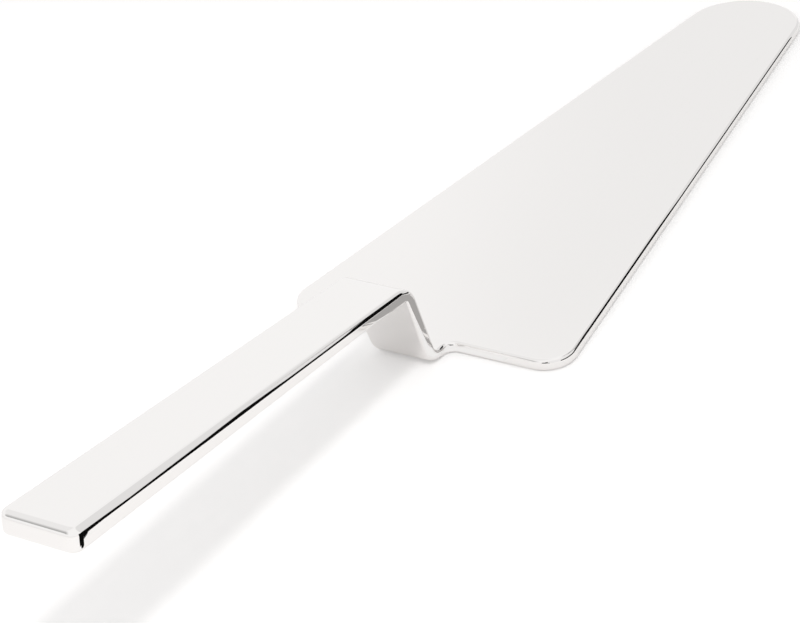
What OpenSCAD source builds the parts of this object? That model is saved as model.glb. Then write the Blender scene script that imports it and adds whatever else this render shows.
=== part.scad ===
// Cake server in mirror-polished stainless steel: a solid bar handle that bends down
// into a short riser, butt welded to a thin triangular blade that lies flat on the table.
// +X runs from the handle to the tip, +Z is up. The origin is on the table, at the middle
// of the heel, the straight edge at the back of the blade.

/* [Blade] */
// Length of the blade from its heel to its tip
blade_len = 152; // [130:1:175]
// Width of the blade across its heel
heel_w = 59; // [48:1:70]
// Thickness of the blade at the heel
heel_t = 2.3; // [2.1:0.1:3]
// Thickness of the blade at the tip, where it was rolled thinner
tip_t = 2; // [1.6:0.1:2.2]
// Radius of the round tip, in plan
tip_r = 12.4; // [8:0.1:18]
// Radius of the two heel corners, in plan
heel_corner_r = 5.6; // [3:0.1:9]
// Rounding of the top and bottom edges of the blade
blade_edge_r = 0.75; // [0.3:0.05:0.75]

/* [Tongue and riser] */
// Flat length of the tongue, between its fillets at the heel and the bend at its foot
tongue_flat = 0.6; // [0.2:0.05:3]
// Width of the tongue and of the riser at its foot
tongue_w = 12.6; // [10:0.1:16]
// Radius of the hollow fillets between the tongue and the heel, in plan
tongue_fillet_r = 2; // [1:0.1:3]
// Angle between the table and the back of the riser, in degrees
riser_lean = 70; // [55:1:80]
// Thickness of the riser at its foot
riser_foot_t = 2.3; // [2.2:0.1:3]
// Radius of the bend at the foot, on the side that shows from the front
foot_inner_r = 2; // [0.8:0.1:4]
// How far the rounding of the back corners reaches in under the foot
foot_corner_r = 1.8; // [0.9:0.1:2.4]
// Height of that rounding through the metal
foot_corner_depth = 1; // [0.6:0.05:1]
// How far the same rounding reaches in where the riser leaves the bend
riser_corner_r = 1; // [0.6:0.05:1.4]

/* [Handle] */
// Length of the handle along its underside, from the inside of the knee to its end
handle_len = 94.6; // [80:0.1:120]
// Height of the inside of the knee above the table
knee_h = 17.1; // [12:0.1:30]
// Slope at which the handle climbs away from the knee, in degrees
handle_rise = 5.7; // [2:0.1:12]
// Width of the handle at the knee
knee_w = 12.8; // [10:0.1:16]
// Width of the handle at its free end
end_w = 14.8; // [12:0.1:20]
// Thickness of the handle at the knee
knee_t = 2.6; // [2.4:0.1:3.6]
// Thickness of the handle at its free end
end_t = 4.2; // [3:0.1:6]
// Radius of the upright corners of the free end
end_corner_r = 2; // [1:0.1:4]
// Rounding of the long edges of the handle
handle_edge_r = 0.85; // [0.4:0.05:0.9]
// Rounding of the lower edges inside the knee, where the polishing wheel hardly reaches
knee_edge_r = 0.45; // [0.3:0.05:0.6]
// Distance along the handle over which those edges grow to their full rounding
knee_fade = 10; // [5:1:20]
// Radius of the outside of the knee
knee_outer_r = 5.8; // [2:0.1:6]
// Radius of the inside of the knee
knee_inner_r = 1.2; // [0.5:0.1:2]

/* [Butt weld] */
// Height of the weld on the back of the riser, measured along it from the foot
weld_up = 9; // [6:0.1:10]
// Flat root face that is left between the two bevels
weld_root = 0.4; // [0.3:0.05:0.5]
// Slope of each bevel, measured from the root face, in degrees
weld_bevel = 30; // [20:1:40]

/* [Hidden] */

// Steps in the curves
edge_steps = 6;
bend_steps = 10;
corner_steps = 8;
tip_steps = 16;
last = 2 * edge_steps + 3;
root_lo = edge_steps + 1;
root_hi = edge_steps + 2;

// Small sums on side-view points, [x, z]
function toward(angle) = [-cos(angle), sin(angle)];
function above(angle) = [sin(angle), cos(angle)];
function mix(a, b, share) = a + (b - a) * share;
function cross2(a, b) = a[0] * b[1] - a[1] * b[0];
function meet(p, u, q, v) = p + u * (cross2(q - p, v) / cross2(u, v));
function turn(v, angle) = [v[0] * cos(angle) - v[1] * sin(angle), v[0] * sin(angle) + v[1] * cos(angle)];

// Side view. The underside and the top each have two corners, at the foot and at the knee,
// and each stretch gets thicker evenly along its length.
riser_len = knee_h / sin(riser_lean);
tongue_len = tongue_fillet_r + tongue_flat + foot_inner_r * tan(riser_lean / 2)
    + riser_foot_t / sin(riser_lean) - heel_t / tan(riser_lean);
foot_under = [-tongue_len, 0];
knee_under = foot_under + riser_len * toward(riser_lean);
end_under = knee_under + handle_len * toward(handle_rise);
riser_front_a = foot_under + riser_foot_t * above(riser_lean);
riser_front_b = knee_under + knee_t * above(riser_lean);
riser_front_dir = (riser_front_b - riser_front_a) / norm(riser_front_b - riser_front_a);
handle_top_a = knee_under + knee_t * above(handle_rise);
handle_top_b = end_under + end_t * above(handle_rise);
handle_top_dir = (handle_top_b - handle_top_a) / norm(handle_top_b - handle_top_a);
blade_top_dir = [-blade_len, heel_t - tip_t] / norm([blade_len, heel_t - tip_t]);
foot_over = meet([0, heel_t], blade_top_dir, riser_front_a, riser_front_dir);

// The two arcs of the bend at the foot start on one upright line, at the end of the flat
// tongue, so the outer radius is the inner one plus the thickness of the plate.
foot_outer_r = foot_inner_r
    + (riser_foot_t / sin(riser_lean) - heel_t / tan(riser_lean)) / tan(riser_lean / 2);
knee_over = meet(riser_front_a, riser_front_dir, handle_top_a, handle_top_dir);

// A stretch is [start of its underside, direction, direction across the metal,
// thickness at its start, thickness at its end, length].
riser = [foot_under, toward(riser_lean), above(riser_lean), riser_foot_t, knee_t, riser_len];
grip = [knee_under, toward(handle_rise), above(handle_rise), knee_t, end_t, handle_len];
plate = [[0, 0], [1, 0], [0, 1], heel_t, tip_t, blade_len];
function thick(run, s) = mix(run[3], run[4], s / run[5]);
function place(run, s, y, q) =
    let (p = run[0] + s * run[1] + q * thick(run, s) * run[2]) [p[0], y, p[1]];

// A rounded corner of a side-view line: the point at a share of the way round it
function corner_turn(a, b) = asin(cross2(a, b));
function rounded(corner, a, b, r, share) =
    let (bend = corner_turn(a, b),
         centre = corner + (b - a) / norm(b - a) * r / cos(bend / 2),
         first = corner - a * r * tan(abs(bend) / 2))
    centre + turn(first - centre, bend * share);

// Half a cross-section, from the underside to the top, as [way in from the side, share of
// the thickness]. The two points in its middle carry the root of the weld.
function side_middle(t, depth, r) = (depth + t - r) / 2;
function half_root(t, depth, r) = min(weld_root / 2, (t - depth - r) / 3);
function rim(t, reach, depth, r) = concat(
    [for (i = [0:edge_steps]) let (a = 90 * i / edge_steps)
        [reach * (1 - sin(a)), depth * (1 - cos(a)) / t]],
    [for (end = [-1, 1]) [0, (side_middle(t, depth, r) + end * half_root(t, depth, r)) / t]],
    [for (i = [0:edge_steps]) let (a = 90 * i / edge_steps)
        [r * (1 - cos(a)), 1 - r * (1 - sin(a)) / t]]);

// A row of the surface, on a flat stretch, and across a bend or on the riser
function flat_row(run, s, y, inward, section) =
    [for (c = section) place(run, s + inward[0] * c[0], y + inward[1] * c[0], c[1])];
function cross_row(under, over, half, section, side) =
    [for (c = section) let (p = mix(under, over, c[1])) [p[0], side * (half - c[0]), p[1]]];

// Widths and roundings along the riser, at a share of its length from the foot
function riser_half(share) = mix(tongue_w, knee_w, share) / 2;
function back_depth(share) = mix(foot_corner_depth, knee_edge_r, share);
function back_reach(share) = mix(riser_corner_r, knee_edge_r, share);
function front_edge_r(share) = mix(blade_edge_r, handle_edge_r, share);
function riser_rim(t, share) = rim(t, back_reach(share), back_depth(share), front_edge_r(share));
function foot_rim(t, share) =
    rim(t, mix(riser_corner_r, foot_corner_r, share), foot_corner_depth, blade_edge_r);

// The two ends at the weld are bevelled from both sides down to the root face.
weld_share = weld_up / riser_len;
weld_t = thick(riser, weld_up);
weld_middle = side_middle(weld_t, back_depth(weld_share), front_edge_r(weld_share));
function bevel_back(q) = tan(weld_bevel) * max(0, abs(q * weld_t - weld_middle) - weld_root / 2);
function weld_row(end, side) = [for (c = riser_rim(weld_t, weld_share))
    let (p = place(riser, weld_up + end * bevel_back(c[1]), 0, c[1]))
        [p[0], side * (riser_half(weld_share) - c[0]), p[2]]];

// Rows from the weld down through the foot bend to the flat tongue
function foot_under_at(share) = rounded(foot_under, -toward(riser_lean), [1, 0], foot_outer_r, share);
function foot_over_at(share) = rounded(foot_over, -riser_front_dir, -blade_top_dir, foot_inner_r, share);
function foot_row(share, side) = let (under = foot_under_at(share), over = foot_over_at(share))
    cross_row(under, over, tongue_w / 2, foot_rim(norm(over - under), share), side);
function blade_rows(side) = concat(
    [weld_row(-1, side)],
    [for (i = [0:bend_steps]) foot_row(i / bend_steps, side)]);

// Rows from the weld up through the knee to the straight handle
function knee_under_at(share) =
    rounded(knee_under, toward(riser_lean), toward(handle_rise), knee_inner_r, share);
function knee_over_at(share) = rounded(knee_over, riser_front_dir, handle_top_dir, knee_outer_r, share);
function knee_row(share, side) = let (under = knee_under_at(share), over = knee_over_at(share))
    cross_row(under, over, knee_w / 2, riser_rim(norm(over - under), 1), side);
function fade_row(side) = flat_row(grip, knee_fade, side * mix(knee_w, end_w, knee_fade / handle_len) / 2,
    [0, -side], handle_rim(knee_fade));
function handle_rows(side) = concat(
    [weld_row(1, side)],
    [for (i = [0:bend_steps]) knee_row(i / bend_steps, side)],
    [fade_row(side)]);

// Plan of the blade, from the tongue round to the tip, as [place, way in]. The sides run
// from the heel corners in a straight line that touches the round tip.
side_span = [blade_len - tip_r, -heel_w / 2];
side_angle = atan2(-side_span[1], side_span[0]) - asin(tip_r / norm(side_span));
side_dir = [cos(side_angle), -sin(side_angle)];
function around(centre, r, from, to, steps, hollow = 1) =
    [for (i = [0:steps]) let (a = mix(from, to, i / steps))
        [centre + r * [cos(a), sin(a)], -hollow * [cos(a), sin(a)]]];
fillet_plan = around([-tongue_fillet_r, tongue_w / 2 + tongue_fillet_r], tongue_fillet_r,
    -90, 0, corner_steps, -1);
corner_plan = around([heel_corner_r, heel_w / 2 - heel_corner_r * tan(45 + side_angle / 2)],
    heel_corner_r, 180, 90 - side_angle, corner_steps);
tip_plan = around([blade_len - tip_r, 0], tip_r, 90 - side_angle, 0, tip_steps);
half_plan = concat(fillet_plan, corner_plan, tip_plan);

// Plan of the handle, from the knee to the middle of its free end
handle_taper = atan((end_w - knee_w) / 2 / handle_len);
end_plan = around([handle_len - end_corner_r,
    end_w / 2 - end_corner_r / cos(handle_taper) + end_corner_r * tan(handle_taper)],
    end_corner_r, 90 + handle_taper, 0, corner_steps);

function blade_rim(x) = let (t = thick(plate, x)) rim(t, blade_edge_r, blade_edge_r, blade_edge_r);
function handle_rim(s) = let (t = thick(grip, s)) rim(t, handle_edge_r, handle_edge_r, handle_edge_r);
function plan_rows(run, plan, sections) =
    let (count = len(plan))
    concat(
        [for (i = [0:count - 1]) flat_row(run, plan[i][0][0], plan[i][0][1], plan[i][1], sections[i])],
        [for (i = [count - 1:-1:0]) if (plan[i][0][1] > 0)
            flat_row(run, plan[i][0][0], -plan[i][0][1], [plan[i][1][0], -plan[i][1][1]], sections[i])]);
function backward(list) = [for (i = [len(list) - 1:-1:0]) list[i]];

// Closes a shell over its rows. The first and the last few rows face each other across the
// riser and the bend, and the rows between them run round a flat stretch. Seen from above,
// the rows go round the stretch anticlockwise.
module shell(left, around_rows, right) {
    rows = concat(left, around_rows, backward(right));
    count = len(rows);
    wide = last + 1;
    crossing = len(left);
    polyhedron(
        points = [for (row = rows, p = row) p],
        faces = concat(
            [for (j = [0:count - 2], k = [0:last - 1])
                [j * wide + k, j * wide + k + 1, (j + 1) * wide + k + 1, (j + 1) * wide + k]],
            [for (k = [0:last - 1])
                [k, (count - 1) * wide + k, (count - 1) * wide + k + 1, k + 1]],
            [for (j = [0:crossing - 2], k = [0, last]) let (
                    a = j * wide + k,
                    b = (count - 1 - j) * wide + k,
                    quad = [a, a + wide, b - wide, b])
                k == 0 ? quad : backward(quad)],
            [for (k = [0, last]) let (loop = [for (j = [crossing - 1:count - crossing]) j * wide + k])
                k == 0 ? loop : backward(loop)]),
        convexity = 4);
}

// One run of the butt weld fills the V between the two bevels, flush with the riser.
module weld_run(marks) {
    steps = len(marks) - 1;
    side_count = 2 * steps + 1;
    below = [for (side = [1, -1]) weld_row(-1, side)];
    over = [for (side = [1, -1]) weld_row(1, side)];
    lower = [for (i = [0:steps]) i];
    upper = [for (i = [0:steps]) i == 0 ? 0 : steps + i];
    facing = marks[0] == root_hi;
    faces = concat(
        [for (i = [0:steps - 1])
            [lower[i], lower[i + 1], side_count + lower[i + 1], side_count + lower[i]]],
        [for (i = [0:steps - 1])
            [upper[i], side_count + upper[i], side_count + upper[i + 1], upper[i + 1]]],
        [[lower[0], upper[1], lower[1]]],
        [for (i = [1:steps - 1]) [lower[i], upper[i], upper[i + 1], lower[i + 1]]],
        [[side_count + lower[0], side_count + lower[1], side_count + upper[1]]],
        [for (i = [1:steps - 1]) [side_count + lower[i], side_count + lower[i + 1],
            side_count + upper[i + 1], side_count + upper[i]]],
        [[lower[steps], upper[steps], side_count + upper[steps], side_count + lower[steps]]]);
    polyhedron(
        points = [for (s = [0, 1]) each concat(
            [for (k = marks) below[s][k]],
            [for (i = [1:steps]) over[s][marks[i]]])],
        faces = facing ? [for (face = faces) backward(face)] : faces,
        convexity = 2);
}

module handle() {
    color("gainsboro")
        shell(handle_rows(1),
            plan_rows(grip, end_plan, [for (p = end_plan) handle_rim(handle_len)]),
            handle_rows(-1));
}

module blade() {
    color("whitesmoke")
        shell(blade_rows(-1),
            backward(plan_rows(plate, half_plan, [for (p = half_plan) blade_rim(p[0][0])])),
            blade_rows(1));
}

module front_weld_run() {
    color("lightsteelblue")
        weld_run([for (k = [root_hi:last]) k]);
}

module back_weld_run() {
    color("lightsteelblue")
        weld_run([for (k = [root_lo:-1:0]) k]);
}

handle();
blade();
front_weld_run();
back_weld_run();
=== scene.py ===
# %% [markdown]
# # A mirror-polished cake server
# The real object is solid stainless steel, polished all over until it works as a mirror. A flat bar
# is the handle. It bends down at a knee into a short riser, and the foot of the riser bends out into
# a thin triangular blade that lies flat on the table. The riser holds a butt weld, ground flush.
# A mirror has hardly any colour of its own: what makes it look real is the run of its rounded edges
# and what the room shows in them. So this lesson spends its time on the roundings, and on a plain
# white studio with a few cards that only the steel can see.

# %% Load the frame
import math
import bmesh
import bpy
from mathutils import Matrix, Vector


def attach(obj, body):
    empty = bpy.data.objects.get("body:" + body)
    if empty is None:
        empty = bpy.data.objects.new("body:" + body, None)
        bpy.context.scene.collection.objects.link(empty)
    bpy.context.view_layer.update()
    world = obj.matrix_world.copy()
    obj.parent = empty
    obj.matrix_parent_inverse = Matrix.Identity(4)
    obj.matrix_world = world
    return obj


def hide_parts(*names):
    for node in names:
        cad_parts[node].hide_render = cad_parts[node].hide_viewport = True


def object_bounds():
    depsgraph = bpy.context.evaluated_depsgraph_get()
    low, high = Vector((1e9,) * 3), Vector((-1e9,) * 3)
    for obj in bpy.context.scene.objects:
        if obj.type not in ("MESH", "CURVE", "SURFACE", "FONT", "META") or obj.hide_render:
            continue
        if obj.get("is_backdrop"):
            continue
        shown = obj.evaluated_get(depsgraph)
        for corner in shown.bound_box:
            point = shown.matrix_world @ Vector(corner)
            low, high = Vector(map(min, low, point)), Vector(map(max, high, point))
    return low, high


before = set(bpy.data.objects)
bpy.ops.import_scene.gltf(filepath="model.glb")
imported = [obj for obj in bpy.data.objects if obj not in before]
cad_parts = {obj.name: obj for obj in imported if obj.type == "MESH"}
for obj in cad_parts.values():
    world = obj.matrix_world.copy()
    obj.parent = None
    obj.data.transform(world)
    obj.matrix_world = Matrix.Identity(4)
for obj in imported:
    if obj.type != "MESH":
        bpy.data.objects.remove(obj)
cad_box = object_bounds()
print("CAD box, mm:", [[round(1000 * c, 2) for c in corner] for corner in cad_box])

# %% [markdown]
# ## The camera
# The photograph was taken from behind the free end of the handle and well to its right, looking down
# at the blade. A long lens keeps the perspective gentle. The camera is turned in three steps, as on a
# tripod: yaw round the upright axis, pitch down, and a small roll.

# %% Place the camera
camera_place = Vector((-0.335606, -0.224106, 0.246038))
camera_yaw = math.radians(34.125)
camera_pitch = math.radians(30.599)
camera_roll = math.radians(-6.383)
bpy.ops.object.select_all(action="DESELECT")
bpy.ops.object.camera_add()
camera = bpy.context.object
camera.name = "camera"
camera.data.sensor_width = 36
camera.data.lens = 117.84
camera.data.clip_start = 0.01
camera.data.clip_end = 10
quarter = math.radians(90)
camera.matrix_world = (
    Matrix.Translation(camera_place)
    @ Matrix.Rotation(camera_yaw - quarter, 4, "Z")
    @ Matrix.Rotation(quarter - camera_pitch, 4, "X")
    @ Matrix.Rotation(camera_roll, 4, "Z")
)
bpy.context.scene.camera = camera
print("camera looks along", [round(c, 3) for c in camera.matrix_world.col[2].xyz * -1])

# %% [markdown]
# ## Sizes
# Blender works in metres here, so every size is written in millimetres and multiplied once. They are
# the CAD model's own sizes, because each piece takes the place of a CAD solid. The last few say into
# how many small steps a rounding or a bend is split.

# %% Sizes of the server
mm = 0.001
blade_len = 152 * mm
heel_w = 59 * mm
heel_t = 2.3 * mm
tip_t = 2 * mm
tip_r = 12.4 * mm
heel_corner_r = 5.6 * mm
blade_edge_r = 0.75 * mm
tongue_flat = 0.6 * mm
tongue_w = 12.6 * mm
tongue_fillet_r = 2 * mm
riser_lean = math.radians(70)
riser_foot_t = 2.3 * mm
foot_inner_r = 2 * mm
foot_corner_r = 1.8 * mm
foot_corner_depth = 1 * mm
riser_corner_r = 1 * mm
handle_len = 94.6 * mm
knee_h = 17.1 * mm
handle_rise = math.radians(5.7)
knee_w = 12.8 * mm
end_w = 14.8 * mm
knee_t = 2.6 * mm
end_t = 4.2 * mm
end_corner_r = 2 * mm
handle_edge_r = 0.85 * mm
knee_edge_r = 0.45 * mm
knee_fade = 10 * mm
knee_outer_r = 5.8 * mm
knee_inner_r = 1.2 * mm
weld_up = 9 * mm
weld_root = 0.4 * mm
weld_bevel = math.radians(30)
edge_steps = 6
bend_steps = 12
heel_steps = 24
corner_steps = 14
tip_points = 144
true_arc = 0.5

# %% [markdown]
# ## The side view
# Seen from the side, the server is two lines, its underside and its top, that each have a corner at
# the foot and a corner at the knee. A few helpers find those corners and round them, so that the
# bends can later be made by moving a cross-section along both lines at once.

# %% Lines of the side view
def toward(angle):
    """Direction up and back along the riser or the handle, in the side view."""
    return Vector((-math.cos(angle), math.sin(angle)))


def above(angle):
    """Direction across the metal, from its underside to its top."""
    return Vector((math.sin(angle), math.cos(angle)))


def cross(a, b):
    return a.x * b.y - a.y * b.x


def meet(p, along_p, q, along_q):
    """Where two lines of the side view cross."""
    return p + along_p * (cross(q - p, along_q) / cross(along_p, along_q))


riser_len = knee_h / math.sin(riser_lean)
tongue_len = (
    tongue_fillet_r + tongue_flat + foot_inner_r * math.tan(riser_lean / 2)
    + riser_foot_t / math.sin(riser_lean) - heel_t / math.tan(riser_lean)
)
foot_outer_r = foot_inner_r + (
    riser_foot_t / math.sin(riser_lean) - heel_t / math.tan(riser_lean)
) / math.tan(riser_lean / 2)
foot_under = Vector((-tongue_len, 0))
knee_under = foot_under + toward(riser_lean) * riser_len
riser_front = foot_under + above(riser_lean) * riser_foot_t
riser_front_dir = (knee_under + above(riser_lean) * knee_t - riser_front).normalized()
handle_top = knee_under + above(handle_rise) * knee_t
handle_top_dir = (
    above(handle_rise) * (end_t - knee_t) + toward(handle_rise) * handle_len
).normalized()
blade_top_dir = Vector((-blade_len, heel_t - tip_t)).normalized()
foot_over = meet(Vector((0, heel_t)), blade_top_dir, riser_front, riser_front_dir)
knee_over = meet(riser_front, riser_front_dir, handle_top, handle_top_dir)
print("foot corners, mm:", [[round(c / mm, 2) for c in p] for p in (foot_under, foot_over)])
print("knee corners, mm:", [[round(c / mm, 2) for c in p] for p in (knee_under, knee_over)])

# %% Round a corner of the side view
def rounded(corner, into, out, radius, share):
    """A point at a share of the way round the arc that replaces a corner."""
    bend = math.asin(cross(into, out))
    centre = corner + (out - into).normalized() * (radius / math.cos(bend / 2))
    spoke = corner - into * (radius * math.tan(abs(bend) / 2)) - centre
    return centre + Matrix.Rotation(bend * share, 2) @ spoke


def foot_section(share):
    """The cross-section's underside and top, from 0 on the riser to 1 on the tongue."""
    under = rounded(foot_under, -toward(riser_lean), Vector((1, 0)), foot_outer_r, share)
    over = rounded(foot_over, -riser_front_dir, -blade_top_dir, foot_inner_r, share)
    return under, over


def knee_section(share):
    """The same, from 0 on the riser to 1 on the handle."""
    under = rounded(knee_under, toward(riser_lean), toward(handle_rise), knee_inner_r, share)
    over = rounded(knee_over, riser_front_dir, handle_top_dir, knee_outer_r, share)
    return under, over


# %% [markdown]
# ## Selecting by place
# In a script there is no mouse, so faces and edges are picked by a test of where they are or which
# way they face. Everything is deselected first, because an operator acts on all that is selected.

# %% Helpers for picking
def edit(piece):
    """Enter edit mode on one piece, with nothing selected."""
    if bpy.context.mode != "OBJECT":
        bpy.ops.object.mode_set(mode="OBJECT")
    bpy.ops.object.select_all(action="DESELECT")
    piece.select_set(True)
    bpy.context.view_layer.objects.active = piece
    bpy.ops.object.mode_set(mode="EDIT")
    bpy.ops.mesh.select_all(action="DESELECT")


def pick(kind, test):
    """Select the faces, edges or points of the piece in edit mode that pass a test."""
    bpy.ops.mesh.select_all(action="DESELECT")
    bpy.ops.mesh.select_mode(type=kind)
    mesh = bpy.context.object.data
    cage = bmesh.from_edit_mesh(mesh)
    parts = {"FACE": cage.faces, "EDGE": cage.edges, "VERT": cage.verts}[kind]
    chosen = [part for part in parts if test(part)]
    for part in chosen:
        part.select_set(True)
    cage.select_flush_mode()
    bmesh.update_edit_mesh(mesh)
    return len(chosen)


hair = 0.02 * mm
mostly = 0.9


def near(a, b):
    return abs(a - b) < hair


def faces_back(face):
    return face.normal.x < -mostly


def upright(edge):
    """An edge that runs straight up through the metal."""
    span = edge.verts[0].co - edge.verts[1].co
    return abs(span.z) > hair and abs(span.x) < hair and abs(span.y) < hair


def rim_edge(edge):
    """An edge between the top or underside and a side."""
    flats = [abs(face.normal.z) > mostly for face in edge.link_faces]
    return len(flats) == 2 and flats[0] != flats[1]


# %% [markdown]
# ## The blade
# The real blade is a plate cut to a long triangle with a round tip, then rounded along its edges.
# It could be drawn as one outline and filled, but a plate grows more naturally out of its roundest
# part: a flat cylinder gives the tip, half of it is cut away where the straight sides touch, and the
# cut face is pulled back to the heel and widened. The same face then gives the tongue.

# %% Tip and straight sides
tip_x = blade_len - tip_r
side_angle = math.atan2(heel_w / 2, tip_x) - math.asin(tip_r / math.hypot(tip_x, heel_w / 2))
touch_x = tip_x + tip_r * math.sin(side_angle)
touch_y = tip_r * math.cos(side_angle)
bpy.ops.object.select_all(action="DESELECT")
bpy.ops.mesh.primitive_cylinder_add(
    vertices=tip_points, radius=tip_r, depth=heel_t, location=(tip_x, 0, heel_t / 2)
)
body = bpy.context.object
body.name = "server_body"
bpy.ops.object.transform_apply(location=True, rotation=False, scale=False)
edit(body)
bpy.ops.mesh.select_all(action="SELECT")
bpy.ops.mesh.bisect(
    plane_co=(touch_x, 0, 0), plane_no=(1, 0, 0), use_fill=True, clear_inner=True
)
print("cut faces:", pick("FACE", faces_back))
bpy.ops.mesh.extrude_region_move(TRANSFORM_OT_translate={"value": (-touch_x, 0, 0)})
bpy.ops.transform.resize(value=(1, heel_w / 2 / touch_y, 1), center_override=(0, 0, 0))

# %% Tongue
tongue_end = tongue_fillet_r + tongue_flat / 2
for side in (-1, 1):
    pick("FACE", faces_back)
    bpy.ops.mesh.bisect(plane_co=(0, side * tongue_w / 2, 0), plane_no=(0, 1, 0))
pick("FACE", lambda face: faces_back(face) and abs(face.calc_center_median().y) < hair)
bpy.ops.mesh.extrude_region_move(TRANSFORM_OT_translate={"value": (-tongue_end, 0, 0)})
bpy.ops.mesh.select_all(action="SELECT")
same_plane = 0.001
bpy.ops.mesh.dissolve_limited(angle_limit=same_plane)

# %% [markdown]
# Now the corners of the outline. The two at the heel are rounded outwards and the two beside the
# tongue are hollow. Bevelling the upright edges does both, before the rim is rounded, so that the
# rim then follows the curves. A bevel's offset is where the arc starts, which is the radius times
# the tangent of half the turn. Where the corner is sharper than square the bevel comes out a little
# fuller than an arc, so the heel's offset is raised by a few hundredths.

# %% Round the outline
def at_heel(edge, across):
    return upright(edge) and near(edge.verts[0].co.x, 0) and near(abs(edge.verts[0].co.y), across)


heel_turn = math.radians(90) + side_angle
fuller = 1.035
pick("EDGE", lambda edge: at_heel(edge, heel_w / 2))
bpy.ops.mesh.bevel(
    offset=fuller * heel_corner_r * math.tan(heel_turn / 2),
    segments=heel_steps,
    profile=true_arc,
    affect="EDGES",
)
pick("EDGE", lambda edge: at_heel(edge, tongue_w / 2))
bpy.ops.mesh.bevel(
    offset=tongue_fillet_r, segments=corner_steps, profile=true_arc, affect="EDGES"
)

# %% Round the rim
def at_tongue_end(part):
    return part.co.x < hair - tongue_end


pick("EDGE", lambda edge: rim_edge(edge) and not all(at_tongue_end(v) for v in edge.verts))
bpy.ops.mesh.bevel(offset=blade_edge_r, segments=edge_steps, profile=true_arc, affect="EDGES")
print("faces in the blade:", len(bmesh.from_edit_mesh(body.data).faces))

# %% [markdown]
# The blade was rolled a little thinner towards its tip. Turning all the points of the upper half by
# a tenth of a degree about the heel gives that. With no window, rotate turns the other way.

# %% Roll the blade thinner
pick("VERT", lambda point: point.co.z > heel_t / 2)
bpy.ops.transform.rotate(
    value=-math.atan2(heel_t - tip_t, blade_len), orient_axis="Y", center_override=(0, 0, heel_t)
)

# %% [markdown]
# ## A bend, made by laying sections
# The bends are not simple spins: the inside and the outside of each have their own radius. So the
# end face, which already has its rounded corners, is extruded again and again. Each time it is moved
# to the next place on the underside, leaned over, and its upper half is pushed out to the top line.

# %% Lay the next section
def lean(section):
    """How far a section leans towards the tip, in radians."""
    under, over = section
    return math.atan2(over.x - under.x, over.y - under.y)


def height(section):
    return (section[1] - section[0]).length


def in_space(flat):
    """A side-view vector as a vector in space."""
    return Vector((flat.x, 0, flat.y))


def next_section(now, then):
    """Extrude the selected end face from one section of the side view to the next."""
    bpy.ops.mesh.extrude_region_move(
        TRANSFORM_OT_translate={"value": in_space(then[0] - now[0])}
    )
    mesh = bpy.context.object.data
    cage = bmesh.from_edit_mesh(mesh)
    cage.verts.index_update()
    cage.verts.ensure_lookup_table()
    ring = [point.index for point in cage.verts if point.select]
    foot = in_space(then[0])
    bpy.ops.transform.rotate(
        value=lean(now) - lean(then), orient_axis="Y", center_override=foot
    )
    up = in_space(then[1] - then[0]).normalized()
    cage = bmesh.from_edit_mesh(mesh)
    cage.verts.ensure_lookup_table()
    upper = {i for i in ring if (cage.verts[i].co - foot).dot(up) > height(now) / 2}
    pick("VERT", lambda point: point.index in upper)
    bpy.ops.transform.translate(value=up * (height(then) - height(now)))
    pick("VERT", lambda point: point.index in set(ring))


# %% [markdown]
# ## The foot
# Before the first bend the two lower corners of the section get a larger rounding, wider than it is
# high, because the photograph shows the back of the foot rolled in softly at both sides. Through the
# bend each section draws those roundings in a little, towards their smaller reach on the riser.

# %% Larger roundings under the foot
pick("FACE", lambda face: faces_back(face) and all(at_tongue_end(v) for v in face.verts))
tongue_section = (Vector((-tongue_end, 0)), Vector((-tongue_end, heel_t)))
foot_place = Vector((foot_section(1)[0].x, 0))
upright_section = (foot_place, foot_place + Vector((0, heel_t)))
next_section(tongue_section, upright_section)


def resize_lower_corners(section, half, depth, reach_by, depth_by):
    """Resize the two lower roundings of the selected section about its lower corners."""
    foot = in_space(section[0])
    up = in_space(section[1] - section[0]).normalized()
    cage = bmesh.from_edit_mesh(bpy.context.object.data)
    cage.verts.index_update()
    ring = {point.index for point in cage.verts if point.select}
    for side in (-1, 1):
        pick(
            "VERT",
            lambda point: point.index in ring
            and (point.co - foot).dot(up) < depth + hair
            and point.co.y * side > 0,
        )
        bpy.ops.transform.resize(
            value=(1, reach_by, depth_by), center_override=foot + Vector((0, side * half, 0))
        )
    pick("VERT", lambda point: point.index in ring)


resize_lower_corners(
    upright_section,
    tongue_w / 2,
    blade_edge_r,
    foot_corner_r / blade_edge_r,
    foot_corner_depth / blade_edge_r,
)
reach = foot_corner_r
for step in range(bend_steps + 1):
    share = 1 - step / bend_steps
    before = upright_section if step == 0 else foot_section(share + 1 / bend_steps)
    next_section(before, foot_section(share))
    next_reach = riser_corner_r + (foot_corner_r - riser_corner_r) * share
    resize_lower_corners(
        foot_section(share), tongue_w / 2, foot_corner_depth, next_reach / reach, 1
    )
    reach = next_reach
print("the riser starts at, mm:", [[round(c / mm, 2) for c in p] for p in foot_section(0)])

# %% [markdown]
# ## The handle
# The handle is a tapered bar. It starts as a block along the table, its far end is made wider and
# thicker, the free end's corners and then all its long edges are rounded, and only then is it tipped
# up to its slope. The block is cut off just past the place where the knee's outer arc will end, as
# the skin would otherwise fold back on itself there. Inside the knee the polishing wheel hardly
# reaches, so a ring of points is added a little way along, and from there the lower roundings shrink
# towards the knee. In the photo the black line on the right rounding lies lower and lower towards the
# free end, so there the upper rounding is larger than the drawn one.

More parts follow.
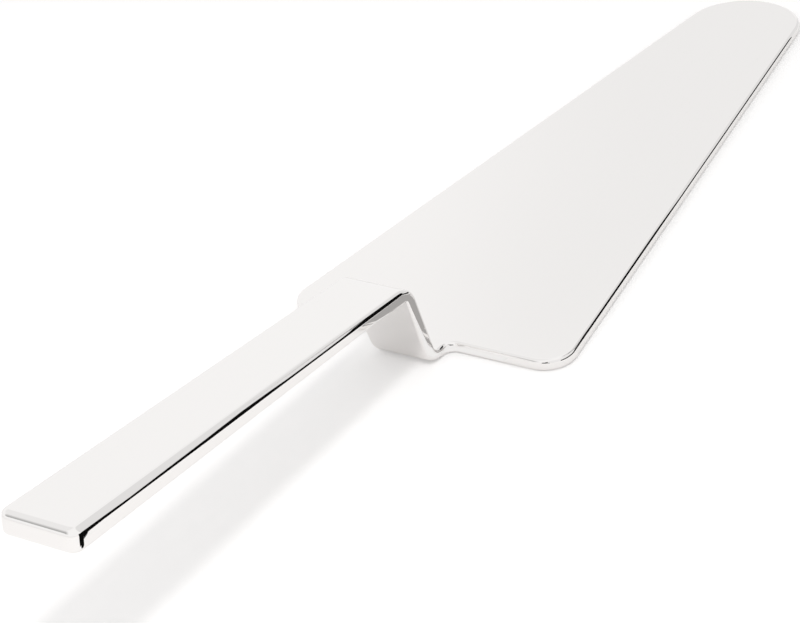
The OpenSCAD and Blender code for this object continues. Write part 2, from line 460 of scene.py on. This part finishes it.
# %% Tapered bar
half_turn = (riser_lean - handle_rise) / 2
past_the_arc = 0.8 * mm
bar_start = (knee_outer_r - knee_t) * math.tan(half_turn) + past_the_arc
bpy.ops.object.mode_set(mode="OBJECT")
bpy.ops.object.select_all(action="DESELECT")
bpy.ops.mesh.primitive_cube_add(
    size=1, location=(-handle_len / 2, 0, knee_t / 2), scale=(handle_len, knee_w, knee_t)
)
bar = bpy.context.object
bar.name = "handle_bar"
bpy.ops.object.transform_apply(location=True, rotation=False, scale=True)
edit(bar)
pick("FACE", faces_back)
bpy.ops.transform.resize(value=(1, end_w / knee_w, 1), center_override=(-handle_len, 0, 0))
pick("VERT", lambda point: point.co.x < -handle_len / 2 and point.co.z > hair)
bpy.ops.transform.translate(value=(0, 0, end_t - knee_t))
bpy.ops.mesh.select_all(action="SELECT")
bpy.ops.mesh.bisect(
    plane_co=(-bar_start, 0, 0), plane_no=(1, 0, 0), use_fill=True, clear_outer=True
)

# %% Round the bar
end_edge_r = 1.4 * mm
pick("EDGE", lambda edge: upright(edge) and near(edge.verts[0].co.x, -handle_len))
bpy.ops.mesh.bevel(offset=end_corner_r, segments=corner_steps, profile=true_arc, affect="EDGES")


def at_knee_end(point):
    return point.co.x > -bar_start - hair


def rim_of(edge, upper):
    """A rim edge of the bar's upper or lower side, but for its square end at the knee."""
    ends_at_knee = all(at_knee_end(point) for point in edge.verts)
    return rim_edge(edge) and not ends_at_knee and (edge.verts[0].co.z > knee_t / 2) == upper


for upper, edge_r in ((True, end_edge_r), (False, handle_edge_r)):
    pick("EDGE", lambda edge: rim_of(edge, upper))
    bpy.ops.mesh.bevel(offset=edge_r, segments=edge_steps, profile=true_arc, affect="EDGES")

# %% Shrink the roundings towards the knee
start_t = knee_t + (end_t - knee_t) * bar_start / handle_len
bar_end = (Vector((-bar_start, 0)), Vector((-bar_start, start_t)))
bar_half = (knee_w + (end_w - knee_w) * bar_start / handle_len) / 2
upper_share = handle_edge_r / end_edge_r
for corner_y in (-bar_half, bar_half):
    pick(
        "VERT",
        lambda point: at_knee_end(point)
        and abs(point.co.y - corner_y) < end_edge_r + hair
        and abs(point.co.z - start_t) < end_edge_r + hair,
    )
    bpy.ops.transform.resize(
        value=(1, upper_share, upper_share), center_override=(-bar_start, corner_y, start_t)
    )
bpy.ops.mesh.select_all(action="SELECT")
bpy.ops.mesh.bisect(plane_co=(-knee_fade, 0, 0), plane_no=(1, 0, 0))
pick("VERT", at_knee_end)
knee_share = knee_edge_r / handle_edge_r
resize_lower_corners(bar_end, bar_half, handle_edge_r, knee_share, knee_share)

# %% Tip the bar up to its place at the knee
bpy.ops.mesh.select_all(action="SELECT")
bpy.ops.transform.rotate(value=-handle_rise, orient_axis="Y", center_override=(0, 0, 0))
bpy.ops.transform.translate(value=in_space(knee_under))
start_under = knee_under + toward(handle_rise) * bar_start
start_section = (start_under, start_under + above(handle_rise) * start_t)


squarely = 0.99


def faces_knee(face):
    """The square end of the bar, the only face that looks along it towards the tip."""
    return face.normal.dot(in_space(toward(handle_rise))) < -squarely


print("end faces at the knee:", pick("FACE", faces_knee))
for step in range(bend_steps + 1):
    share = 1 - step / bend_steps
    before = start_section if step == 0 else knee_section(share + 1 / bend_steps)
    next_section(before, knee_section(share))

# %% [markdown]
# ## The riser
# Two ends now face each other, with the same number of points: the top of the foot and the underside
# of the knee. Bridging them makes the riser, a straight blend from the softer roundings below to the
# tighter ones above. After a bridge, a check that no line crosses over is worth its few words.

# %% Bridge the riser
bpy.ops.object.mode_set(mode="OBJECT")
bpy.ops.object.select_all(action="DESELECT")
bar.select_set(True)
body.select_set(True)
bpy.context.view_layer.objects.active = body
bpy.ops.object.join()
edit(body)


fewest_points = 20


def closes(face, section):
    """The end face that lies in a section of the side view, told by its many points."""
    if len(face.verts) < fewest_points:
        return False
    foot = in_space(section[0])
    across = in_space(section[1] - section[0]).normalized().cross(Vector((0, 1, 0)))
    return all(abs((point.co - foot).dot(across)) < hair for point in face.verts)


ends = pick("FACE", lambda face: closes(face, foot_section(0)) or closes(face, knee_section(0)))
bpy.ops.mesh.bridge_edge_loops(type="PAIRS")
cage = bmesh.from_edit_mesh(body.data)
spans = [edge.verts[1].co - edge.verts[0].co for edge in cage.edges if edge.select]
slips = [abs(span.y) for span in spans if abs(span.z) > knee_h / 2]
print("ends bridged:", ends, "rungs:", len(slips), "largest slip, mm:", round(max(slips) / mm, 2))
bpy.ops.mesh.select_all(action="SELECT")
bpy.ops.mesh.normals_make_consistent(inside=False)
bpy.ops.object.mode_set(mode="OBJECT")

# %% [markdown]
# ## The weld
# The bar and the blade are two lengths of steel. Both ends were bevelled from both sides, down to a
# narrow root face, and the two V-shaped grooves were filled and ground flush. To show the same
# pieces as the CAD model, the body is copied four times and each copy is cut along the grooves.

# %% Planes of the joint
weld_share = weld_up / riser_len
weld_t = riser_foot_t + (knee_t - riser_foot_t) * weld_share
back_depth = foot_corner_depth + (knee_edge_r - foot_corner_depth) * weld_share
front_r = blade_edge_r + (handle_edge_r - blade_edge_r) * weld_share
weld_middle = (back_depth + weld_t - front_r) / 2


def on_riser(up, through):
    """A point by its way up the back of the riser and its depth through the metal."""
    return in_space(foot_under + toward(riser_lean) * up + above(riser_lean) * through)


def cut(piece, point, normal, keep_ahead, above_z=-knee_h):
    """Cut a piece with a plane, close the cut, and keep what lies ahead of it or behind it.
    Only faces that reach above a height are cut, so that a slanting plane spares the blade."""
    edit(piece)
    pick("FACE", lambda face: max(point.co.z for point in face.verts) > above_z)
    bpy.ops.mesh.bisect(
        plane_co=point,
        plane_no=normal,
        use_fill=True,
        clear_inner=keep_ahead,
        clear_outer=not keep_ahead,
    )
    bpy.ops.object.mode_set(mode="OBJECT")


root_front = on_riser(weld_up, weld_middle + weld_root / 2)
root_back = on_riser(weld_up, weld_middle - weld_root / 2)
riser_axis = in_space(toward(riser_lean))
through_axis = in_space(above(riser_lean))


def bevel_normal(up, through):
    """Faces up the riser, tipped towards its front or its back."""
    return (riser_axis * math.cos(weld_bevel) * up + through_axis * math.sin(weld_bevel) * through)


# %% Cut the pieces apart
def copy_body(name):
    bpy.ops.object.mode_set(mode="OBJECT")
    bpy.ops.object.select_all(action="DESELECT")
    body.select_set(True)
    bpy.context.view_layer.objects.active = body
    bpy.ops.object.duplicate()
    bpy.context.object.name = name
    bpy.context.object.data.name = name
    return bpy.context.object


handle = copy_body("handle_piece")
cut(handle, root_front, riser_axis, True)
cut(handle, root_front, bevel_normal(1, -1), True)
cut(handle, root_back, bevel_normal(1, 1), True)
blade = copy_body("blade_piece")
over_foot = 1.5 * heel_t
cut(blade, root_front, riser_axis, False, over_foot)
cut(blade, root_front, bevel_normal(1, 1), False, over_foot)
cut(blade, root_back, bevel_normal(1, -1), False, over_foot)
front_run = copy_body("front_weld_piece")
cut(front_run, root_front, bevel_normal(1, -1), False)
cut(front_run, root_front, bevel_normal(1, 1), True)
cut(front_run, on_riser(weld_up, 2 * weld_t), through_axis, False)
back_run = copy_body("back_weld_piece")
cut(back_run, root_back, bevel_normal(1, 1), False)
cut(back_run, root_back, bevel_normal(1, -1), True)
cut(back_run, on_riser(weld_up, -weld_t), through_axis, True)
bpy.ops.object.select_all(action="DESELECT")
body.select_set(True)
bpy.context.view_layer.objects.active = body
bpy.ops.object.delete()
server = (handle, blade, front_run, back_run)
for piece in server:
    print(piece.name, "faces:", len(piece.data.polygons))

# %% [markdown]
# ## Smooth shading on flat steel
# A mirror shows the slightest bend in how its surface is shaded. Plain smooth shading would tilt the
# flats towards the roundings next to them. The Weighted Normal modifier lets the largest faces have
# their way, so the flats stay flat and only the narrow strips of the roundings turn.

# %% Shade the pieces
smooth_below = math.radians(40)
for piece in server:
    bpy.ops.object.select_all(action="DESELECT")
    piece.select_set(True)
    bpy.context.view_layer.objects.active = piece
    bpy.ops.object.shade_smooth_by_angle(angle=smooth_below)
    weighting = piece.modifiers.new("flats_first", "WEIGHTED_NORMAL")
    weighting.weight = 100
    weighting.keep_sharp = True
    bpy.ops.object.modifier_apply(modifier=weighting.name)

# %% [markdown]
# ## The finish
# Stainless steel that has been ground, buffed and then mopped with polishing paste is nearly a
# perfect mirror. What is left of the work is faint: straight hairlines along the metal, soft cloudy
# patches where the mop lingered, and a very slight unevenness that makes the edge of a reflection
# waver. One node group makes all three from the place on the object, and both steels use it. Two
# small helpers come first, because the table, the room and the cards need them too.

# %% Helpers for shader nodes
def math_of(tree, operation, *values):
    """A Math node, fed with numbers or with what other nodes give."""
    node = tree.nodes.new("ShaderNodeMath")
    node.operation = operation
    for socket, value in zip(node.inputs, values):
        if isinstance(value, (int, float)):
            socket.default_value = value
        else:
            tree.links.new(value, socket)
    return node.outputs["Value"]


def ranged(tree, value, low, high, low_result=0, high_result=1, curve="SMOOTHSTEP"):
    """Map a slice of a value onto another range. Either result may come from a node."""
    node = tree.nodes.new("ShaderNodeMapRange")
    node.interpolation_type = curve
    node.inputs["From Min"].default_value = low
    node.inputs["From Max"].default_value = high
    tree.links.new(value, node.inputs["Value"])
    for name, result in (("To Min", low_result), ("To Max", high_result)):
        if isinstance(result, (int, float)):
            node.inputs[name].default_value = result
        else:
            tree.links.new(result, node.inputs[name])
    return node.outputs["Result"]


# %% Node group for polishing traces
scratch_darkening = 0.5
waver_depth = 0.01 * mm


def make_polish_group():
    group = bpy.data.node_groups.new("polishing_traces", "ShaderNodeTree")
    sockets = group.interface
    for name, value in (
        ("Smoothest", 0.02),
        ("Haze", 0.02),
        ("Hairlines", 0.02),
        ("Unevenness", 0.1),
    ):
        socket = sockets.new_socket(name=name, in_out="INPUT", socket_type="NodeSocketFloat")
        socket.default_value = value
    sockets.new_socket(name="Roughness", in_out="OUTPUT", socket_type="NodeSocketFloat")
    sockets.new_socket(name="Tone", in_out="OUTPUT", socket_type="NodeSocketFloat")
    sockets.new_socket(name="Normal", in_out="OUTPUT", socket_type="NodeSocketVector")
    nodes = group.nodes
    link = group.links.new
    given = nodes.new("NodeGroupInput")
    result = nodes.new("NodeGroupOutput")
    place = nodes.new("ShaderNodeTexCoord")

    def stretched_noise(stretch, scale, detail):
        """Noise drawn out along the server, which runs along X."""
        mapping = nodes.new("ShaderNodeMapping")
        mapping.inputs["Scale"].default_value = stretch
        noise = nodes.new("ShaderNodeTexNoise")
        noise.inputs["Scale"].default_value = scale
        noise.inputs["Detail"].default_value = detail
        link(place.outputs["Object"], mapping.inputs["Vector"])
        link(mapping.outputs["Vector"], noise.inputs["Vector"])
        return noise.outputs["Fac"]

    cloud_noise = stretched_noise(stretch=(1, 1, 1), scale=45, detail=3)
    line_noise = stretched_noise(stretch=(0.03, 1, 1), scale=2600, detail=2)
    waver = stretched_noise(stretch=(0.5, 1, 1), scale=70, detail=1)
    clouds = ranged(group, cloud_noise, low=0.42, high=0.68)
    lines = ranged(group, line_noise, low=0.56, high=0.74)
    haze = math_of(group, "MULTIPLY", clouds, given.outputs["Haze"])
    scratch = math_of(group, "MULTIPLY", lines, given.outputs["Hairlines"])
    hazy = math_of(group, "ADD", given.outputs["Smoothest"], haze)
    link(math_of(group, "ADD", hazy, scratch), result.inputs["Roughness"])
    darker = math_of(group, "MULTIPLY", scratch, scratch_darkening)
    link(math_of(group, "SUBTRACT", 1, darker), result.inputs["Tone"])
    bump = nodes.new("ShaderNodeBump")
    bump.inputs["Distance"].default_value = waver_depth
    link(given.outputs["Unevenness"], bump.inputs["Strength"])
    link(waver, bump.inputs["Height"])
    link(bump.outputs["Normal"], result.inputs["Normal"])
    return group


polish_group = make_polish_group()

# %% Two polished steels
steel_colour = (0.905, 0.888, 0.876)
scratch_tone = 0.6


def make_steel(name, smoothest, haze, hairlines, unevenness):
    """Polished steel, with its own share of each trace of the polishing."""
    steel = bpy.data.materials.new(name)
    steel.use_nodes = True
    nodes = steel.node_tree.nodes
    link = steel.node_tree.links.new
    shader = nodes["Principled BSDF"]
    shader.inputs["Metallic"].default_value = 1
    traces = nodes.new("ShaderNodeGroup")
    traces.node_tree = polish_group
    traces.inputs["Smoothest"].default_value = smoothest
    traces.inputs["Haze"].default_value = haze
    traces.inputs["Hairlines"].default_value = hairlines
    traces.inputs["Unevenness"].default_value = unevenness
    tint = nodes.new("ShaderNodeMix")
    tint.data_type = "RGBA"
    tint.inputs["A"].default_value = (*(scratch_tone * part for part in steel_colour), 1)
    tint.inputs["B"].default_value = (*steel_colour, 1)
    link(traces.outputs["Tone"], tint.inputs["Factor"])
    link(tint.outputs["Result"], shader.inputs["Base Color"])
    link(traces.outputs["Roughness"], shader.inputs["Roughness"])
    link(traces.outputs["Normal"], shader.inputs["Normal"])
    return steel


mirror_steel = make_steel(
    "mirror_polished_steel", smoothest=0.02, haze=0.02, hairlines=0.02, unevenness=0.1
)
weld_steel = make_steel(
    "flush_polished_weld", smoothest=0.02, haze=0.025, hairlines=0.025, unevenness=0.12
)

# %% Dress each piece, attach it to the root and hide its CAD node
finishes = (
    (handle, "handle", mirror_steel, "polished_steel"),
    (blade, "blade", mirror_steel, "polished_steel"),
    (front_run, "front_weld_run", weld_steel, "polished_weld"),
    (back_run, "back_weld_run", weld_steel, "polished_weld"),
)
for piece, node, steel, slot_name in finishes:
    piece.data.materials.clear()
    piece.data.materials.append(steel)
    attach(piece, "root")
    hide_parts(node)

# %% [markdown]
# ## The table
# A white table stands for the paper sweep of the studio. Lit at a plain level it is a little below
# white, so a faint glow is added for the camera and for reflections only. The soft shadow stays.

# %% White table
table_size = 2600 * mm
bpy.ops.object.mode_set(mode="OBJECT")
bpy.ops.object.select_all(action="DESELECT")
bpy.ops.mesh.primitive_plane_add(size=table_size, location=(0, 0, 0))
table = bpy.context.object
table.name = "white_table"
table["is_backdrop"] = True

# %% Which rays are meant
camera_kinds = ("Is Camera Ray",)
mirrored_kinds = ("Is Glossy Ray", "Is Transmission Ray")


def rays_of(tree, kinds):
    """1 for the kinds of ray named, 0 for the others."""
    ray_path = tree.nodes.new("ShaderNodeLightPath")
    total = ray_path.outputs[kinds[0]]
    for kind in kinds[1:]:
        total = math_of(tree, "MAXIMUM", total, ray_path.outputs[kind])
    return total


# %% White paper
camera_glow = 0.19
mirrored_glow = 0.09
paper = bpy.data.materials.new("white_paper")
paper.use_nodes = True
paper_tree = paper.node_tree
paper_shader = paper_tree.nodes["Principled BSDF"]
paper_shader.inputs["Base Color"].default_value = (0.868, 0.859, 0.854, 1)
paper_shader.inputs["Roughness"].default_value = 1
paper_shader.inputs["Specular IOR Level"].default_value = 0
paper_shader.inputs["Emission Color"].default_value = (1, 1, 1, 1)
glow = 0
for kinds, strength in ((camera_kinds, camera_glow), (mirrored_kinds, mirrored_glow)):
    glow = math_of(paper_tree, "MULTIPLY_ADD", rays_of(paper_tree, kinds), strength, glow)
paper_tree.links.new(glow, paper_shader.inputs["Emission Strength"])
table.data.materials.append(paper)

# %% [markdown]
# ## The room
# Polished steel is lit by what it mirrors. The room is a white tent with a few soft greyer places,
# each put where a certain surface looks. They are found by following the camera's ray to a surface
# and on from there. The camera itself and the diffuse light get a plain even white.

# %% World with a white tent
world = bpy.context.scene.world or bpy.data.worlds.new("studio")
bpy.context.scene.world = world
world.use_nodes = True
sky = world.node_tree
sky.nodes.clear()
direction = sky.nodes.new("ShaderNodeTexCoord").outputs["Generated"]


def along(azimuth, elevation):
    """A direction of the room, from its angles in degrees."""
    turn = Matrix.Rotation(math.radians(azimuth), 3, "Z")
    return turn @ Matrix.Rotation(math.radians(-elevation), 3, "Y") @ Vector((1, 0, 0))


def grey_place(azimuth, elevation, full, faded, level):
    """A lower level round one direction of the room, 1 away from it, with a soft edge between.
    It is full up to one angle from that direction and has faded at another, both in degrees."""
    facing = sky.nodes.new("ShaderNodeVectorMath")
    facing.operation = "DOT_PRODUCT"
    facing.inputs[1].default_value = along(azimuth, elevation)
    sky.links.new(direction, facing.inputs[0])
    apart = math_of(sky, "ARCCOSINE", facing.outputs["Value"])
    return ranged(sky, apart, math.radians(full), math.radians(faded), level, 1)


# %% The greyer places, by azimuth, elevation, the two angles and the level
behind_end = (147, 24, 2, 38, 0.42)
limit_low = math.sin(math.radians(21))
limit_high = math.sin(math.radians(23))
over_blade = (
    (-30, 25, 34, 44, 0.82),
    (80, 60, 20, 33, 0.91),
    (25, 26, 2, 9, 0.93),
    (30.5, 31.2, 0, 4.5, 0.96),
)
high = sky.nodes.new("ShaderNodeSeparateXYZ")
sky.links.new(direction, high.inputs["Vector"])
lower_limit = ranged(sky, high.outputs["Z"], limit_low, limit_high, 1, 0)
room = math_of(sky, "MAXIMUM", grey_place(*behind_end), lower_limit)
for place in over_blade:
    room = math_of(sky, "MULTIPLY", room, grey_place(*place))

# %% One sky for reflections, one for soft light, one for the camera
ambient = 0.85


def sky_light(strength, colour=None):
    """A background of one strength, white unless a colour comes from a node."""
    light = sky.nodes.new("ShaderNodeBackground")
    light.inputs["Strength"].default_value = strength
    light.inputs["Color"].default_value = (1, 1, 1, 1)
    if colour is not None:
        sky.links.new(colour, light.inputs["Color"])
    return light.outputs["Background"]


def chosen_by(kinds, otherwise, choice):
    """One background for the kinds of ray named, and another for the rest."""
    mixer = sky.nodes.new("ShaderNodeMixShader")
    for socket, source in zip(mixer.inputs, (rays_of(sky, kinds), otherwise, choice)):
        sky.links.new(source, socket)
    return mixer.outputs["Shader"]


soft_or_mirrored = chosen_by(mirrored_kinds, sky_light(ambient), sky_light(1, room))
whole_sky = chosen_by(camera_kinds, soft_or_mirrored, sky_light(1))
sky_out = sky.nodes.new("ShaderNodeOutputWorld")
sky.links.new(whole_sky, sky_out.inputs["Surface"])

# %% [markdown]
# ## The cards
# The crisp black line along the right edges is the mirror image of something near and low: its upper
# limit is sharp, and it ends just past the free end of the handle. So it can't belong to the far
# room. Black cards that stand on the table paint it as a reflection: only mirrored rays see them.
# The sides of the knee and of the riser mirror the cards by way of the blade, and there the line
# should be grey. So for rays that have been mirrored twice the cards glow a painted grey. The heel
# and the hollow roundings stand nearer to the tall cards than the handle does, and they should stay
# light. So the tall cards there paint black only for rays from farther away, and a pale glow for
# nearer ones.

# %% Glows of the cards, painted reflections for the steel
# Painted grey reflection: the glow that rays which have met two mirrors get from a card.
twice_mirrored = 0.45
card_base_black = 0.005
fade_way = 2 * mm


def card_reflection_paint(name, level, near_level=None, reach=0):
    """A mirror-only card's glow, a painted reflection: one level, with another for rays that come
    from nearer than its reach.
    """
    reflection_paint = bpy.data.materials.new(name)
    reflection_paint.use_nodes = True
    tree = reflection_paint.node_tree
    surface = tree.nodes["Principled BSDF"]
    surface.inputs["Base Color"].default_value = (card_base_black, card_base_black, card_base_black, 1)
    surface.inputs["Roughness"].default_value = 1
    surface.inputs["Specular IOR Level"].default_value = 0
    surface.inputs["Emission Color"].default_value = (1, 1, 1, 1)
    ray_path = tree.nodes.new("ShaderNodeLightPath")
    once = level
    if near_level is not None:
        far_off = ray_path.outputs["Ray Length"]
        once = ranged(tree, far_off, reach, reach + fade_way, near_level, level, "LINEAR")
    mirrors_met = ray_path.outputs["Glossy Depth"]
    answer = ranged(tree, mirrors_met, 1, 2, once, twice_mirrored, "LINEAR")
    tree.links.new(answer, surface.inputs["Emission Strength"])
    return reflection_paint


# The cards' glows are all painted reflections: black, black only to far rays, grey, and one that
# looks like the paper but paints the riser's side band grey.
painted_black_reflection = card_reflection_paint("painted_black_reflection", level=0)
afar_black_paint = card_reflection_paint("painted_black_reflection_from_afar", level=0, near_level=0.9, reach=51 * mm)
painted_grey_reflection = card_reflection_paint("painted_grey_reflection", level=0.55)
riser_grey_paint = card_reflection_paint("painted_grey_reflection_for_the_riser", level=0.94)

# %% [markdown]
# A card is a plane that stands on edge. The line in the photo is thicker in some places, so the tops
# of the cards slant and make one broken line along the handle. Lower cards follow the blade's edge.

# %% Standing cards
card_lift = 0.1 * mm


def hide_from_all_but_mirrors(card, reflection_paint):
    """Make a card a part of the stage that only mirrored rays meet."""
    card.visible_camera = False
    card.visible_diffuse = False
    card.visible_transmission = False
    card.visible_shadow = False
    card.data.materials.append(reflection_paint)
    card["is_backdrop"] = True


def stand_card(name, reflection_paint, start, end, start_top, end_top):
    """A card on edge from start to end, in mm, with a straight, perhaps slanting top."""
    span = (Vector(end) - Vector(start)) * mm
    card_middle = (Vector(start) + Vector(end)) * mm / 2
    half_way_up = (card_lift + start_top * mm) / 2
    bpy.ops.mesh.primitive_plane_add(
        size=1, location=(*card_middle, half_way_up), rotation=(quarter, 0, 0)
    )
    card = bpy.context.object
    card.name = name
    card.rotation_euler.z = math.atan2(span.y, span.x)
    card.scale = (span.length, start_top * mm - card_lift, 1)
    bpy.ops.object.transform_apply(location=True, rotation=True, scale=True)
    edit(card)
    pick("VERT", lambda point: point.co.x > card_middle.x and point.co.z > half_way_up)
    bpy.ops.transform.translate(value=(0, 0, (end_top - start_top) * mm))
    bpy.ops.object.mode_set(mode="OBJECT")
    hide_from_all_but_mirrors(card, reflection_paint)


# %% The row beside the handle, by way along it and height in mm
handle_row = -45
near_row_from = -31
row_tops = (
    (-105, 34),
    (-70, 31),
    (-56, 23),
    (-31, 31),
    (-12, 43),
    (-5, 27),
    (4, 25),
    (17, 28),
    (23, 34),
    (29, 43),
    (42, 50),
    (60, 120),
)
# Each tall card paints the black reflection line on the handle's roundings; only mirrored rays see
# it.
for (start_x, start_top), (end_x, end_top) in zip(row_tops, row_tops[1:]):
    reflection_paint = afar_black_paint if end_x > near_row_from else painted_black_reflection
    stand_card("tall_card", reflection_paint, (start_x, handle_row), (end_x, handle_row), start_top, end_top)

# %% The row beside the blade, by its two ends and their heights in mm
blade_row = (
    ((-32, -44), (-22, -44), 6, 6),
    ((-1, -44), (16, -40), 6, 6),
    ((16, -40), (27, -34), 6, 10.5),
    ((27, -34), (66, -29), 10.5, 10.5),
    ((66, -29), (76, -27.5), 10.5, 5.5),
    ((76, -27.5), (150, -18), 5.5, 5.5),
)
# These low cards paint the black reflection line along the blade's right edge.
for card_sizes in blade_row:
    stand_card("black_card_by_the_blade", painted_black_reflection, *card_sizes)

# %% A grey card, a painted grey reflection that breaks the line near the heel
grey_row = handle_row + 0.5
grey_height = 20
stand_card("grey_card", painted_grey_reflection, (40, grey_row), (58, grey_row), grey_height, grey_height)

# %% [markdown]
# Two more cards lie flat, and they too are seen only in the steel. The black corner below the free
# end of the handle is a painted reflection, the image of a black one in front of the row. Its side
# towards the handle is cut back in two steps, so that the corner runs out to a point. A pale one
# behind the heel looks like the paper, except to rays that come down from the riser's side by way of
# the heel: they are mirrored twice and get a painted grey, so the band there stays grey.

# %% Cards that lie flat
def lay_card(name, place, size, columns=1):
    """A flat card with its middle at a place and a size in mm, split in columns."""
    bpy.ops.mesh.primitive_grid_add(
        x_subdivisions=columns,
        y_subdivisions=1,
        size=1,
        location=(place[0] * mm, place[1] * mm, card_lift),
    )
    card = bpy.context.object
    card.name = name
    card.scale = (size[0] * mm, size[1] * mm, 1)
    bpy.ops.object.transform_apply(location=True, rotation=True, scale=True)
    return card


flat_place = Vector((-78, -39.2))
flat_size = Vector((38, 13.6))
flat_card = lay_card("flat_black_card", flat_place, flat_size, columns=2)
cut_back = ((flat_place.x, 2.9, -2), (flat_place.x + flat_size.x / 2, -12.3, -3.9))
edit(flat_card)
for column, step_x, step_y in cut_back:
    pick("VERT", lambda point: near(point.co.x, column * mm) and point.co.y > flat_place.y * mm)
    bpy.ops.transform.translate(value=(step_x * mm, step_y * mm, 0))
bpy.ops.object.mode_set(mode="OBJECT")
hide_from_all_but_mirrors(flat_card, painted_black_reflection)
heel_card = lay_card("card_behind_the_heel", place=(-4.8, -12.2), size=(9, 10))
hide_from_all_but_mirrors(heel_card, riser_grey_paint)

# %% [markdown]
# ## The lamp
# One small soft lamp above and behind the handle throws the pale shadow that lies below it in the
# picture. It hangs near, so the shadow widens towards the free end, which stands highest. It is kept
# out of the reflections, where the tent already stands for it.

# %% Soft lamp
lamp_direction = Vector((-0.48, -0.18, 0.84)).normalized()
lamp_distance = 450 * mm
lamp_size = 65 * mm
lamp_power = 0.46
bpy.ops.object.light_add(type="AREA", location=lamp_direction * lamp_distance)
lamp = bpy.context.object
lamp.name = "soft_lamp"
lamp.data.shape = "DISK"
lamp.data.size = lamp_size
lamp.data.energy = lamp_power
lamp.rotation_mode = "QUATERNION"
lamp.rotation_quaternion = lamp_direction.to_track_quat("Z", "Y")
lamp.visible_glossy = False
bpy.context.scene.view_settings.view_transform = "Standard"

# %% [markdown]
# ## The size
# Both boxes are printed: the CAD model's and the dressed server's.

# %% Print the boxes
visual_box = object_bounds()
sizes = {"cad": [list(corner) for corner in cad_box], "visual": [list(c) for c in visual_box]}
for name, box in sizes.items():
    print(name, [[round(c / mm, 3) for c in corner] for corner in box])
